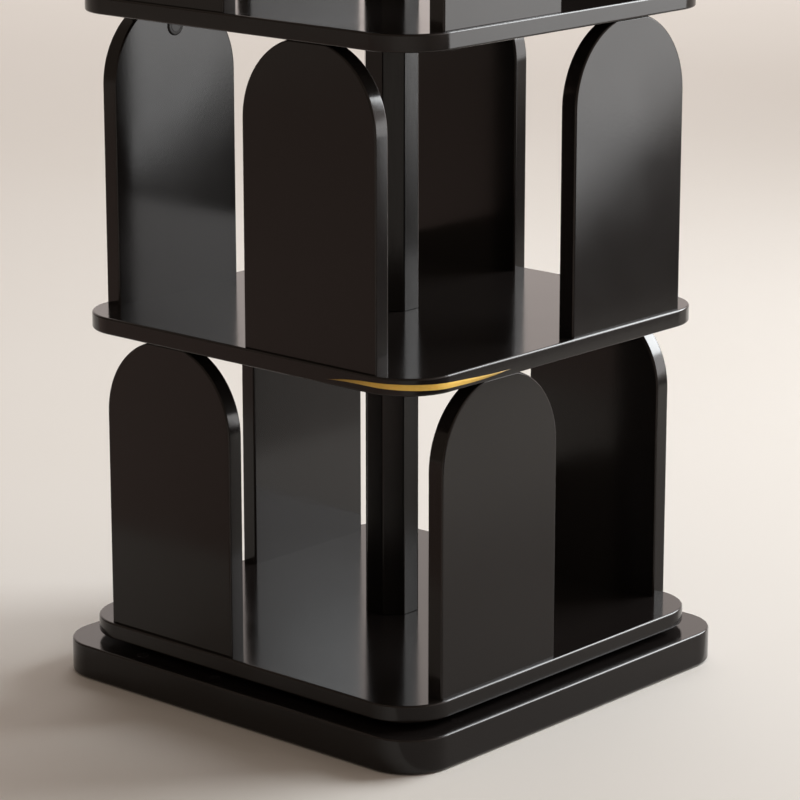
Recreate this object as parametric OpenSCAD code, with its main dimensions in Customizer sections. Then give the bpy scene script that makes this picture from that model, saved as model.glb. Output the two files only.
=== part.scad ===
// Revolving bookcase in millimetres, +Z up, origin on the floor under the middle of the base.
// A square base carries a ball turntable. On it turns a carcase of square shelves held apart by
// arched panels, which stand in a pinwheel round a central post and change hand at each tier.

/* [Shelves] */
// Side of each square shelf board
shelf_side = 400; // [370:1:460]
// Thickness of each shelf board
shelf_t = 15; // [12:0.5:20]
// Corner radius of the shelf boards, seen from above
shelf_corner_r = 47; // [30:1:60]
// Clear height between one shelf board and the next
tier_clear = 264; // [220:1:340]
// Radius that eases the long edges of every board
edge_r = 1.5; // [0.8:0.1:2.5]

/* [Arched panels] */
// Width of an arched panel, and so the diameter of its half-round top
panel_w = 148; // [125:1:155]
// Thickness of an arched panel
panel_t = 16; // [13:0.5:20]
// How far a panel's outer face stands back from the shelf's edge
panel_setback = 3.5; // [1:0.5:8]
// Distance along the shelf's edge from the shelf's corner to the panel
panel_margin = 42; // [34:1:50]
// Height taken off the crown, so that it bears flat on the shelf above
crown_cut = 3; // [1:0.5:5]

/* [Base] */
// How far the base reaches past the shelves on every side
base_margin = 16; // [6:1:40]
// Thickness of the base board
base_t = 30; // [24:1:45]
// Corner radius of the base board, seen from above
base_corner_r = 43; // [25:1:70]

/* [Foot pads] */
// Diameter of a foot pad
pad_d = 40; // [25:1:50]
// Thickness of a foot pad
pad_t = 3; // [2:0.5:6]
// How far a pad stands out below the base
pad_proud = 1; // [0.5:0.1:1.5]
// Distance from the base's sides to the middle of a pad
pad_inset = 62; // [40:1:80]

/* [Turntable] */
// Open gap between the base and the bottom shelf
turntable_gap = 6; // [5:0.5:8]
// Diameter of the circle on which the balls run
ball_circle_d = 220; // [190:1:250]
// Diameter of a ball
ball_d = 6; // [5:0.5:8]
// Number of balls
ball_count = 24; // [12:1:36]
// Clearance of a ball in its races and in the cage
ball_play = 0.2; // [0.1:0.05:0.4]
// Width of each ring, seen from above
ring_w = 17; // [14:0.5:24]
// Thickness of each ring above and below its race
ring_rim = 1.5; // [1:0.1:3]
// How much higher the turning ring sits than the fixed ring
ring_step = 1; // [0.6:0.1:1.5]
// Open gap between the two rings
race_gap = 3; // [2.4:0.1:4]
// Clearance between the cage and the rings beside it
cage_side_clear = 0.4; // [0.3:0.05:0.6]
// Clearance of the cage under the shelf and over the base
cage_end_clear = 0.8; // [0.5:0.1:1]
// Clearance between the turning ring and the wall of its recess
recess_clear = 1; // [0.5:0.1:3]

/* [Central post] */
// Distance across the flats of the eight-sided post
post_across = 46; // [38:1:60]
// How much is taken off the post's long edges
post_edge_cut = 0.4; // [0.2:0.1:0.8]
// Depth of the hole in each end of a length of post
post_hole_depth = 30; // [20:1:50]
// Diameter of the studs that join the lengths of post
stud_d = 8; // [6:0.5:10]
// Depth of its hole that the end of a stud or bolt leaves free
stud_spare = 1; // [0.5:0.1:2]
// Wall of the insert round the top stud
insert_wall = 2.5; // [1.5:0.1:4]

/* [Fastenings] */
// Clearance all round a fastening in its hole
fit = 0.05; // [0.02:0.01:0.1]
// Least wood left between a blind hole and the face beyond it
blind_skin = 4; // [2.5:0.5:5]
// Number of screws in each turntable ring
ring_screw_count = 8; // [4:1:12]
// Diameter of a ring screw's head
ring_head_d = 7; // [6:0.5:8]
// Diameter of a ring screw's shank
ring_shank_d = 3.5; // [3:0.5:4.5]
// Diameter of the hole in the base for driving the turning ring's screws
access_d = 14; // [10:1:18]
// Distance between the two foot screws of a panel
foot_screw_spacing = 90; // [60:1:110]
// Diameter of a foot screw's head
foot_head_d = 10; // [8:0.5:11]
// Diameter of a foot screw's shank
foot_shank_d = 5; // [4:0.5:6]
// How far a foot screw reaches up into its panel
foot_bite = 35; // [20:1:50]
// Diameter of the head of the bolt under the bottom shelf
post_head_d = 16; // [12:0.5:20]
// Distance from the crown down to the middle of the cam
cam_drop = 24; // [20:1:34]
// Diameter of a cam disc
cam_d = 15; // [12:0.5:18]
// Diameter of the cam bolt where it screws into the shelf
cam_thread_d = 6; // [5:0.5:7]
// Diameter of the cam bolt's stem in the panel
cam_stem_d = 7.5; // [7:0.1:9]
// Diameter of the neck above the cam bolt's head
cam_neck_d = 4; // [3:0.1:5]
// Diameter of the cam bolt's head
cam_head_d = 6.4; // [5.5:0.1:7]
// Height of the cam bolt's head
cam_head_h = 3; // [2:0.1:4]
// Clearance of the cam bolt's head inside the cam disc
cam_play = 0.4; // [0.2:0.05:0.6]
// Wood left behind the cam disc
cam_skin = 2.5; // [1.5:0.1:4]
// How far a cam's cover cap reaches past the cam disc
cap_lip = 1.5; // [0.8:0.1:3]
// Thickness of a cam's cover cap
cap_t = 1.2; // [0.8:0.1:2]

/* [Hidden] */
$fn = 96;

// Colours
lacquer = "#2a2522";
aluminium = "#b9bcc0";
bright_steel = "#9a9da1";
zinc = "#a8a8a2";
pale_plastic = "#e6e2d8";
black_plastic = "#211e1d";
black_rubber = "#343332";

// Tiers from the floor up, and which way each tier's panels stand off the middle of their side
tier_names = ["lower", "middle", "upper"];
tier_hand = [-1, 1, -1];
tier_count = len(tier_names);
function level_of(tier) = [for (k = [0:tier_count - 1]) if (tier_names[k] == tier) k][0];

// Turn about the post from the front to each side of the carcase
front_angle = 0;
right_angle = 90;
back_angle = 180;
left_angle = 270;
side_angles = [front_angle, right_angle, back_angle, left_angle];

// How far a cutting shape runs past the face that it cuts
over = 1;

// Heights
base_side = shelf_side + 2 * base_margin;
base_top_z = pad_proud + base_t;
shelf_z0 = base_top_z + turntable_gap;
ring_h = ball_d + 2 * ring_rim;
race_z = shelf_z0 - (ring_h + ring_step) / 2;
recess_z = shelf_z0 - ring_h - ring_step;
fixed_ring_z = recess_z;
turning_ring_z = shelf_z0 - ring_h;
function shelf_z(level) = shelf_z0 + level * (shelf_t + tier_clear);
top_board_z = shelf_z(tier_count);
function tier_z(tier) = shelf_z(level_of(tier)) + shelf_t;

// Turntable radii
ball_circle_r = ball_circle_d / 2;
race_r = ball_d / 2 + ball_play;
fixed_inner_r = ball_circle_r + race_gap / 2;
fixed_outer_r = fixed_inner_r + ring_w;
turning_outer_r = ball_circle_r - race_gap / 2;
turning_inner_r = turning_outer_r - ring_w;
fixed_screw_r = (fixed_inner_r + fixed_outer_r) / 2;
turning_screw_r = (turning_inner_r + turning_outer_r) / 2;
cage_t = race_gap - 2 * cage_side_clear;
cage_h = ring_h + ring_step - 2 * cage_end_clear;

// Panels: distance of the outer faces from the middle, offset along the side, height of the arch
panel_face_r = shelf_side / 2 - panel_setback;
panel_offset = shelf_side / 2 - panel_margin - panel_w / 2;
arch_z = tier_clear + crown_cut - panel_w / 2;

// Fastenings
blind_depth = shelf_t - blind_skin;
ring_screw_len = ring_h + blind_depth;
foot_screw_len = shelf_t + foot_bite;
stud_reach = post_hole_depth - stud_spare;
post_bolt_len = shelf_t + stud_reach;
cam_bore_depth = panel_t - cam_skin;
cam_stem_len = cam_drop - cam_d / 2 - cam_play;
cap_r = cam_d / 2 + cap_lip;
insert_d = stud_d + 2 * insert_wall;

// Half section of a board, from its middle out to an eased edge
module edge_outline(w, t) {
    square([w - edge_r, t]);
    translate([0, edge_r])
        square([w, t - 2 * edge_r]);
    for (y = [edge_r, t - edge_r])
        translate([w - edge_r, y])
            circle(edge_r);
}

// Square board with rounded corners and eased edges
module eased_board(side, t, corner_r) {
    flat = side - 2 * corner_r;
    translate([-flat / 2, -flat / 2, 0])
        cube([flat, flat, t]);
    for (k = [0:3]) {
        rotate(90 * k)
            translate([flat / 2, 0, 0])
                rotate([90, 0, 0])
                    linear_extrude(flat, center = true)
                        edge_outline(corner_r, t);
        rotate(90 * k)
            translate([flat / 2, flat / 2, 0])
                rotate_extrude(angle = 90)
                    edge_outline(corner_r, t);
    }
}

// Outline of a countersunk screw that points down from a head flush at zero, grown by a
// clearance and run past the head by a margin when it is used as a hole
function screw_outline(head_d, shank_d, length, tip, grow = 0, past = 0) =
    let (
        head_r = head_d / 2 + grow,
        shank_r = shank_d / 2 + grow,
        cone_h = (head_d - shank_d) / 2
    )
    concat(
        past > 0 ? [[0, past], [head_r, past]] : [[0, 0]],
        [
            [head_r, 0],
            [shank_r, -cone_h],
            [shank_r, tip - length],
            [shank_r - tip / 2, -length - grow],
            [0, -length - grow]
        ]
    );

module screw(head_d, shank_d, length, tip) {
    socket_d = shank_d * 0.8;
    difference() {
        rotate_extrude()
            polygon(screw_outline(head_d, shank_d, length, tip));
        translate([0, 0, -shank_d / 2])
            cylinder(h = shank_d / 2 + over, d = socket_d, $fn = 6);
    }
}

module screw_hole(head_d, shank_d, length, tip)
    rotate_extrude()
        polygon(screw_outline(head_d, shank_d, length, tip, fit, over));

// Points each child up instead of down
module upward()
    mirror([0, 0, 1])
        children();

// Foot pads
module at_pads() {
    reach = base_side / 2 - pad_inset;
    for (x = [-reach, reach], y = [-reach, reach])
        translate([x, y, 0])
            children();
}

module foot_pads()
    color(black_rubber)
        at_pads()
            cylinder(h = pad_t, d = pad_d);

// Ring screws, shared by the rings, the boards and the screws themselves
ring_screw_tip = 3;

module at_ring_screws(r, z)
    for (k = [0:ring_screw_count - 1])
        rotate(360 * k / ring_screw_count)
            translate([r, 0, z])
                children();

module fixed_ring_places()
    at_ring_screws(fixed_screw_r, fixed_ring_z + ring_h)
        children();

module turning_ring_places()
    at_ring_screws(turning_screw_r, turning_ring_z)
        upward()
            children();

module ring_screw()
    screw(ring_head_d, ring_shank_d, ring_screw_len, ring_screw_tip);

module ring_screw_hole()
    screw_hole(ring_head_d, ring_shank_d, ring_screw_len, ring_screw_tip);

module fixed_ring_screws()
    color(bright_steel)
        fixed_ring_places()
            ring_screw();

module turning_ring_screws()
    color(bright_steel)
        turning_ring_places()
            ring_screw();

// Base with the turntable's recess, the pads' sinkings and the access hole
module base_board()
    color(lacquer)
        difference() {
            translate([0, 0, pad_proud])
                eased_board(base_side, base_t, base_corner_r);
            translate([0, 0, recess_z])
                difference() {
                    cylinder(h = base_t, r = fixed_outer_r + fit);
                    cylinder(h = base_t, r = turning_inner_r - recess_clear);
                }
            at_pads()
                cylinder(h = pad_t, d = pad_d + 2 * fit);
            fixed_ring_places()
                ring_screw_hole();
            translate([turning_screw_r, 0, 0])
                cylinder(h = base_top_z, d = access_d);
        }

// Turntable
module race()
    translate([0, 0, race_z])
        rotate_extrude()
            translate([ball_circle_r, 0])
                circle(race_r);

module ring(z, inner_r, outer_r)
    translate([0, 0, z])
        difference() {
            cylinder(h = ring_h, r = outer_r);
            translate([0, 0, -over])
                cylinder(h = ring_h + 2 * over, r = inner_r);
        }

module turntable_fixed_ring()
    color(aluminium)
        difference() {
            ring(fixed_ring_z, fixed_inner_r, fixed_outer_r);
            race();
            fixed_ring_places()
                ring_screw_hole();
        }

module turntable_turning_ring()
    color(aluminium)
        difference() {
            ring(turning_ring_z, turning_inner_r, turning_outer_r);
            race();
            turning_ring_places()
                ring_screw_hole();
        }

module at_balls()
    for (k = [0:ball_count - 1])
        rotate(360 * (k + 0.5) / ball_count)
            translate([ball_circle_r, 0, race_z])
                children();

module turntable_balls()
    color(bright_steel)
        at_balls()
            sphere(d = ball_d);

module turntable_ball_cage()
    color(pale_plastic)
        difference() {
            translate([0, 0, race_z - cage_h / 2])
                cylinder(h = cage_h, r = ball_circle_r + cage_t / 2);
            translate([0, 0, race_z - cage_h / 2 - over])
                cylinder(h = cage_h + 2 * over, r = ball_circle_r - cage_t / 2);
            at_balls()
                rotate([0, 90, 0])
                    cylinder(h = race_gap, r = race_r, center = true);
        }

// Places on the carcase: each child stands on a panel's foot, outer face at y = 0
module at_panel(tier, side_angle)
    rotate(side_angle)
        translate([tier_hand[level_of(tier)] * panel_offset, -panel_face_r, tier_z(tier)])
            children();

module at_panels(tier)
    for (side_angle = side_angles)
        at_panel(tier, side_angle)
            children();

// Foot screws
foot_screw_tip = 4;

module at_foot_screws()
    for (x = [-foot_screw_spacing / 2, foot_screw_spacing / 2])
        translate([x, panel_t / 2, -shelf_t])
            upward()
                children();

module foot_screw_holes()
    at_foot_screws()
        screw_hole(foot_head_d, foot_shank_d, foot_screw_len, foot_screw_tip);

module foot_screws(tier)
    color(bright_steel)
        at_panels(tier)
            at_foot_screws()
                screw(foot_head_d, foot_shank_d, foot_screw_len, foot_screw_tip);

module lower_foot_screws() foot_screws("lower");
module middle_foot_screws() foot_screws("middle");
module upper_foot_screws() foot_screws("upper");

// Cam fastenings at the crown
module at_crown()
    translate([0, panel_t / 2, tier_clear])
        children();

module at_cam()
    translate([0, panel_t, tier_clear - cam_drop])
        rotate([-90, 0, 0])
            children();

module cam_bolt() {
    head_top = -cam_drop + cam_head_h / 2;
    head_end = -cam_drop - cam_head_h / 2;
    rotate_extrude()
        polygon([
            [0, blind_depth],
            [cam_thread_d / 2, blind_depth],
            [cam_thread_d / 2, 0],
            [cam_stem_d / 2, 0],
            [cam_stem_d / 2, -cam_stem_len],
            [cam_neck_d / 2, -cam_stem_len],
            [cam_neck_d / 2, head_top],
            [cam_head_d / 2, head_top],
            [cam_head_d / 2, head_end],
            [0, head_end]
        ]);
}

module cam_bolt_holes(tier)
    at_panels(tier)
        at_crown()
            translate([0, 0, -over])
                cylinder(h = blind_depth + over, d = cam_thread_d + 2 * fit);

module cam_disc() {
    bolt_room_r = cam_head_d / 2 + cam_play;
    slot = [cam_d / 2, cam_d / 10, cam_d / 10];
    difference() {
        translate([0, 0, -cam_bore_depth])
            cylinder(h = cam_bore_depth, d = cam_d);
        translate([0, cam_head_h / 2 + cam_play, -panel_t / 2])
            rotate([90, 0, 0])
                cylinder(h = cam_d, r = bolt_room_r);
        for (a = [0, 90])
            rotate(a)
                translate([0, 0, -slot[2] / 2 + over / 2])
                    cube([slot[0], slot[1], slot[2] + over], center = true);
    }
}

module cam_cap()
    rotate_extrude()
        polygon([
            [0, 0],
            [cap_r, 0],
            [cap_r, cap_t / 2],
            [cap_r - cap_t / 2, cap_t],
            [0, cap_t]
        ]);

module cam_bolts(tier)
    color(bright_steel)
        at_panels(tier)
            at_crown()
                cam_bolt();

module cam_discs(tier)
    color(zinc)
        at_panels(tier)
            at_cam()
                cam_disc();

module cam_caps(tier)
    color(black_plastic)
        at_panels(tier)
            at_cam()
                cam_cap();

module lower_cam_bolts() cam_bolts("lower");
module middle_cam_bolts() cam_bolts("middle");
module upper_cam_bolts() cam_bolts("upper");
module lower_cam_discs() cam_discs("lower");
module middle_cam_discs() cam_discs("middle");
module upper_cam_discs() cam_discs("upper");
module lower_cam_caps() cam_caps("lower");
module middle_cam_caps() cam_caps("middle");
module upper_cam_caps() cam_caps("upper");

// Arched panel: straight sides, half-round top, crown cut flat, drilled for its fastenings
module panel_blank() {
    linear_extrude(arch_z)
        for (side = [0, 1])
            mirror([side, 0])
                edge_outline(panel_w / 2, panel_t);
    translate([0, panel_t, arch_z])
        rotate([90, 0, 0])
            rotate_extrude(angle = 180)
                edge_outline(panel_w / 2, panel_t);
}

module arched_panel(tier, side_angle)
    color(lacquer)
        at_panel(tier, side_angle)
            difference() {
                panel_blank();
                translate([-panel_w / 2, -over, tier_clear])
                    cube([panel_w, panel_t + 2 * over, crown_cut + over]);
                foot_screw_holes();
                at_crown()
                    translate([0, 0, -cam_drop])
                        cylinder(h = cam_drop + over, d = cam_stem_d + 2 * fit);
                at_cam()
                    translate([0, 0, -cam_bore_depth])
                        cylinder(h = cam_bore_depth + over, d = cam_d + 2 * fit);
            }

module lower_panel_front() arched_panel("lower", front_angle);
module lower_panel_right() arched_panel("lower", right_angle);
module lower_panel_back() arched_panel("lower", back_angle);
module lower_panel_left() arched_panel("lower", left_angle);
module middle_panel_front() arched_panel("middle", front_angle);
module middle_panel_right() arched_panel("middle", right_angle);
module middle_panel_back() arched_panel("middle", back_angle);
module middle_panel_left() arched_panel("middle", left_angle);
module upper_panel_front() arched_panel("upper", front_angle);
module upper_panel_right() arched_panel("upper", right_angle);
module upper_panel_back() arched_panel("upper", back_angle);
module upper_panel_left() arched_panel("upper", left_angle);

// Central post: one eight-sided length to a tier, with a flat towards each side of the carcase,
// joined through the shelves
post_bolt_tip = 1;
post_sides = 8;
post_corner_d = post_across / cos(180 / post_sides);

module post_blank()
    intersection() {
        rotate(180 / post_sides)
            cylinder(h = tier_clear, d = post_corner_d, $fn = post_sides);
        translate([0, 0, -over])
            cylinder(h = tier_clear + 2 * over, d = post_corner_d - 2 * post_edge_cut);
    }

module post(tier)
    color(lacquer)
        translate([0, 0, tier_z(tier)])
            difference() {
                post_blank();
                for (z = [-over, tier_clear - post_hole_depth])
                    translate([0, 0, z])
                        cylinder(h = post_hole_depth + over, d = stud_d + 2 * fit);
            }

module lower_post() post("lower");
module middle_post() post("middle");
module upper_post() post("upper");

module post_bottom_bolt()
    color(bright_steel)
        translate([0, 0, shelf_z0])
            upward()
                screw(post_head_d, stud_d, post_bolt_len, post_bolt_tip);

module post_studs()
    color(bright_steel)
        for (tier = ["middle", "upper"])
            translate([0, 0, tier_z(tier) - shelf_t - stud_reach])
                cylinder(h = shelf_t + 2 * stud_reach, d = stud_d);

module post_top_stud()
    color(bright_steel)
        translate([0, 0, top_board_z - stud_reach])
            cylinder(h = stud_reach + blind_depth - stud_spare, d = stud_d);

module post_top_insert()
    color(zinc)
        translate([0, 0, top_board_z])
            difference() {
                cylinder(h = blind_depth, d = insert_d);
                translate([0, 0, -over])
                    cylinder(h = blind_depth + 2 * over, d = stud_d + 2 * fit);
            }

// Shelf boards
module shelf_blank(z)
    translate([0, 0, z])
        eased_board(shelf_side, shelf_t, shelf_corner_r);

module bottom_shelf()
    color(lacquer)
        difference() {
            shelf_blank(shelf_z0);
            at_panels("lower")
                foot_screw_holes();
            turning_ring_places()
                ring_screw_hole();
            translate([0, 0, shelf_z0])
                upward()
                    screw_hole(post_head_d, stud_d, post_bolt_len, post_bolt_tip);
        }

module shelf_between(below, above)
    color(lacquer)
        difference() {
            shelf_blank(tier_z(above) - shelf_t);
            at_panels(above)
                foot_screw_holes();
            cam_bolt_holes(below);
            translate([0, 0, tier_z(above) - shelf_t - over])
                cylinder(h = shelf_t + 2 * over, d = stud_d + 2 * fit);
        }

module second_shelf() shelf_between("lower", "middle");
module third_shelf() shelf_between("middle", "upper");

module top_board()
    color(lacquer)
        difference() {
            shelf_blank(top_board_z);
            cam_bolt_holes("upper");
            translate([0, 0, top_board_z - over])
                cylinder(h = blind_depth + over, d = insert_d + 2 * fit);
        }

base_board();
foot_pads();
turntable_fixed_ring();
fixed_ring_screws();
turntable_ball_cage();
turntable_balls();
turntable_turning_ring();
turning_ring_screws();
bottom_shelf();
second_shelf();
third_shelf();
top_board();
lower_panel_front();
lower_panel_right();
lower_panel_back();
lower_panel_left();
middle_panel_front();
middle_panel_right();
middle_panel_back();
middle_panel_left();
upper_panel_front();
upper_panel_right();
upper_panel_back();
upper_panel_left();
lower_post();
middle_post();
upper_post();
post_bottom_bolt();
post_studs();
post_top_stud();
post_top_insert();
lower_foot_screws();
middle_foot_screws();
upper_foot_screws();
lower_cam_bolts();
middle_cam_bolts();
upper_cam_bolts();
lower_cam_discs();
middle_cam_discs();
upper_cam_discs();
lower_cam_caps();
middle_cam_caps();
upper_cam_caps();
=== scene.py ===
"""Revolving bookcase: looks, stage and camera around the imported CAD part.

Laid out as a Blender add-on and run as a script. Lengths are metres in the CAD part's own frame:
+Z up, origin on the floor under the middle of the base.
"""

import math

import bmesh
import bpy
from mathutils import Matrix, Quaternion, Vector


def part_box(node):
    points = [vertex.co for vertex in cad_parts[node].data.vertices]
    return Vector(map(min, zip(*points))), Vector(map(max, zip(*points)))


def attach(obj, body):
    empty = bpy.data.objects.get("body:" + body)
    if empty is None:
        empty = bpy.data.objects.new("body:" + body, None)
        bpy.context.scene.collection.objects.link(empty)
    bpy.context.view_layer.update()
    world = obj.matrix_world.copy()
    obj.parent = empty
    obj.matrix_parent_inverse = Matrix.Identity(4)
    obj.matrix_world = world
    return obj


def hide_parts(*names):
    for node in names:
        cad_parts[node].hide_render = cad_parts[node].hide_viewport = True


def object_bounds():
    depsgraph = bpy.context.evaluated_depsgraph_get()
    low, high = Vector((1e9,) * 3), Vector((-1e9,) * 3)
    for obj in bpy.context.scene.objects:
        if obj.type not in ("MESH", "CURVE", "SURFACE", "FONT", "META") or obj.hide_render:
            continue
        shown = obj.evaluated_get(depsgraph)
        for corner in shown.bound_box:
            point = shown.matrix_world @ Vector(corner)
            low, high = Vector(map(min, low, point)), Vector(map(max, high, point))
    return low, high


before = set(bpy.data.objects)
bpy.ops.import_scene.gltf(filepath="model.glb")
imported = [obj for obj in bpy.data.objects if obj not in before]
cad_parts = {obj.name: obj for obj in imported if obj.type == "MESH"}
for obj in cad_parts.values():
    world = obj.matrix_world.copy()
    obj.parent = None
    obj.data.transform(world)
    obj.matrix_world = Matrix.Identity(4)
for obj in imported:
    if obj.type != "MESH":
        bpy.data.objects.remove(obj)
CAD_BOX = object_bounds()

bl_info = {
    "name": "Revolving bookcase",
    "version": (1, 0, 0),
    "blender": (4, 5, 0),
    "location": "View3D > Sidebar > Bookcase",
    "description": "Dresses the revolving bookcase's CAD frame and sets its stage",
    "category": "Object",
}

TIERS = ("lower", "middle", "upper")
SIDES = ("front", "right", "back", "left")
SHELVES = ("bottom_shelf", "second_shelf", "third_shelf", "top_board")
POST_SIDES = 8
HEXAGON = 6
UP = 2
QUARTER_TURN = math.pi / 2
LENGTH = {"unit": "LENGTH", "subtype": "DISTANCE", "precision": 4}

# how far a cutter reaches past a face, a hair's clearance, and distances at which points become one
PAST = 0.001
HAIR = 0.0001
MERGED = 0.00001
SAME = 0.0000001

# steps round a board's corner, a panel's arch, a post's long edge and an eased edge
CORNER_STEPS = 24
ARCH_STEPS = 40
POST_EDGE_STEPS = 6
EASED_STEPS = 5
# steps round a turned piece, round a ball, from pole to pole of a ball, and round the floor
TURNED_STEPS = 48
BALL_STEPS = 24
BALL_RINGS = 16
FLOOR_STEPS = 96

# folds from which an edge is eased, and from which a piece or the gilt line is shaded sharp
EASED_FOLD = math.radians(40)
SHARP_FOLD = math.radians(35)
GILT_SHARP_FOLD = math.radians(50)

# a foot line below every edge, so that all of them are eased
NO_FOOT = -1.0
# how far the radius of a panel's arch stays under half its width
ARCH_SLACK = 0.0005

# rim of a pad, as how far in from its side and how high
PAD_RIM = ((0.0008, 0.0), (0.0002, 0.0003), (0.0, 0.0008))
# soft rim and shallow ring of a cam cap, as how far in from its side and shares of its height
CAP_HEIGHT = 0.0012
CAP_RIM = (
    (0.0, 0.0), (0.0, 0.45), (0.0002, 0.75), (0.0006, 0.93), (0.0012, 1.0),
    (0.0026, 1.0), (0.0029, 0.8), (0.0034, 0.8), (0.0037, 1.0))

# a foot screw's socket and tip, as shares of its shank's radius
SOCKET_WIDTH = 0.8
SOCKET_DEPTH = 1.2
TIP_WIDTH = 0.3
# rim of its head and length of its point
SCREW_RIM = 0.0004
SCREW_POINT = 0.004

# the gilt line's middle, along the shelf's edge from the corner, and how far it runs either way
GILT_MIDDLE = 0.015
GILT_REACH = 0.098
GILT_STEPS = 72
# its least width, as a share of the greatest
GILT_LEAST = 0.01
# height of its middle in the shelf's edge, by powers of the way along it
GILT_RISE = (0.0071, -0.0042, -0.0023, 0.0047)
# its section, as shares of half its width and how far it stands proud of the edge
GILT_SECTION = (
    (-1.0, -0.0003), (-1.0, 0.00006), (-0.5, 0.00022), (0.0, 0.00028),
    (0.5, 0.00022), (1.0, 0.00006), (1.0, -0.0003))

# spots under the far floor's lights, tint of the key light, and tones of the light all round
FAR_SPOTS = ((-3.4, 4.4, 0.0), (4.6, 6.0, 0.0), (4.6, -6.0, 0.0))
KEY_TINT = (0.94, 0.98, 1.0)
FRONT_TONE = (0.200, 0.158, 0.125, 1.0)
BACK_TONE = (1.06, 0.93, 0.87, 1.0)
# height of the grey cards over the floor
CARD_LIFT = 0.001
# the camera's sensor, in millimetres, and how far it sees
SENSOR_WIDTH = 36.0
VIEW_END = 200.0

# sockets of a Mix node for colours, which shares their names with its other kinds
FACTOR = 0
FIRST = 6
SECOND = 7
MIXED = 2


def srgb(code):
    """Linear colour of an sRGB hex value."""
    parts = [int(code[k:k + 2], 16) / 255 for k in (0, 2, 4)]
    return tuple(c / 12.92 if c <= 0.04045 else ((c + 0.055) / 1.055) ** 2.4 for c in parts) + (1.0,)


def colour(name, code, description):
    """A colour property with an sRGB hex value as its default."""
    return bpy.props.FloatVectorProperty(
        name=name, description=description, default=srgb(code), size=4, min=0.0, max=1.0, subtype="COLOR")


def length(name, metres, description):
    """A length property with its default in metres."""
    return bpy.props.FloatProperty(name=name, description=description, default=metres, min=0.0, **LENGTH)


def position(name, spot, description):
    """A place property with its default in metres."""
    return bpy.props.FloatVectorProperty(
        name=name, description=description, default=spot, subtype="TRANSLATION", unit="LENGTH")


def angle(name, radians, description):
    """An angle property with its default in radians."""
    return bpy.props.FloatProperty(name=name, description=description, default=radians, subtype="ANGLE")


def power(name, watts, description):
    """A power property with its default in watts."""
    return bpy.props.FloatProperty(name=name, description=description, default=watts, unit="POWER")


class BookcaseSizes(bpy.types.PropertyGroup):
    """Sizes that the CAD boxes don't give by themselves."""

    shelf_corner: length("Shelf corner", 0.047, "Corner radius of the shelf boards, seen from above")
    base_corner: length("Base corner", 0.043, "Corner radius of the base board, seen from above")
    edge_round: length("Edge round", 0.0018, "Radius that eases the long edges of every board")
    post_edge_round: length("Post edge round", 0.0030, "Radius that eases the long edges of the post")
    post_end_round: length("Post end round", 0.0005, "Radius that eases the ends of the post")
    crown_cut: length("Crown cut", 0.003, "Height taken off a panel's crown, so that it bears flat")
    screw_spacing: length("Foot screw spacing", 0.090, "Distance between the two foot screws of a panel")
    screw_head: length("Foot screw head", 0.010, "Diameter of a foot screw's head")
    screw_shank: length("Foot screw shank", 0.005, "Diameter of a foot screw's shank")
    bolt_head: length("Post bolt head", 0.016, "Diameter of the head of the bolt under the bottom shelf")
    cam_drop: length("Cam drop", 0.024, "Distance from a panel's crown down to the middle of its cam cap")
    recess_clear: length("Recess clearance", 0.001, "Room inside the turning ring in the base's recess")
    access_hole: length("Access hole", 0.014, "Hole in the base for driving the turning ring's screws")
    ball_circle: length("Ball circle", 0.220, "Diameter of the circle on which the balls run")
    ball_count: bpy.props.IntProperty(
        name="Balls", description="Number of balls in the turntable", default=24, min=3)
    pad: length("Foot pad", 0.040, "Diameter of a foot pad")
    cam_cap: length("Cam cap", 0.018, "Diameter of a cam's cover cap")
    gilt_width: length("Gilt line width", 0.0050, "Width of the gilt line where it is widest")


class BookcaseColours(bpy.types.PropertyGroup):
    """Colours of the finishes."""

    lacquer: colour("Lacquer", "191615", "Satin black lacquer of the boards and panels")
    # paler lacquer of the eased edges: partly rubbing wear, partly a painted highlight
    lacquer_rub_and_highlight: colour("Rubbed and highlight-painted lacquer", "2b2624", "The lacquer where handling has rubbed its edges")
    post_lacquer: colour("Post lacquer", "0b0a0a", "Satin black lacquer of the central post")
    aluminium: colour("Aluminium", "c9cbce", "Turntable rings")
    plating: colour("Zinc plating", "b9bcc0", "Screws, bolts and balls")
    casting: colour("Cast zinc", "a8a8a2", "Cams and the top insert")
    nylon: colour("Nylon", "e6e2d8", "Ball cage")
    moulding: colour("Black plastic", "191615", "Cover caps of the cams")
    rubber: colour("Foam rubber", "2a2929", "Foot pads")
    gilt: colour("Gilt", "fac74c", "Gilt line on the second shelf's front corner")
    # darker brown of the gilt line towards its ends
    gilt_ends: colour("Gilt ends", "6b5630", "The gilt line where it thins out at its ends")
    floor: colour("Floor", "e8e4df", "Pale floor of the stage")
    # the side card's tones are painted reflection, seen only in the panels' gloss: its pale band a painted
    # highlight, its dark part a painted shade
    side_card: colour("Side card", "aea8a2", "Card beside the bookcase, seen only in its gloss")
    side_card_painted_highlight: colour("Pale side card", "d0cbc4", "The card beside the bookcase, in its pale band")
    side_card_painted_shade: colour("Dark side card", "4a4745", "The card beside the bookcase, away from the base")
    # the front card's tone is painted shade, seen only in the front panels' gloss
    front_card: colour("Front card", "c9b4ac", "Card in front of the bookcase, seen only in its gloss")


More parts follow.
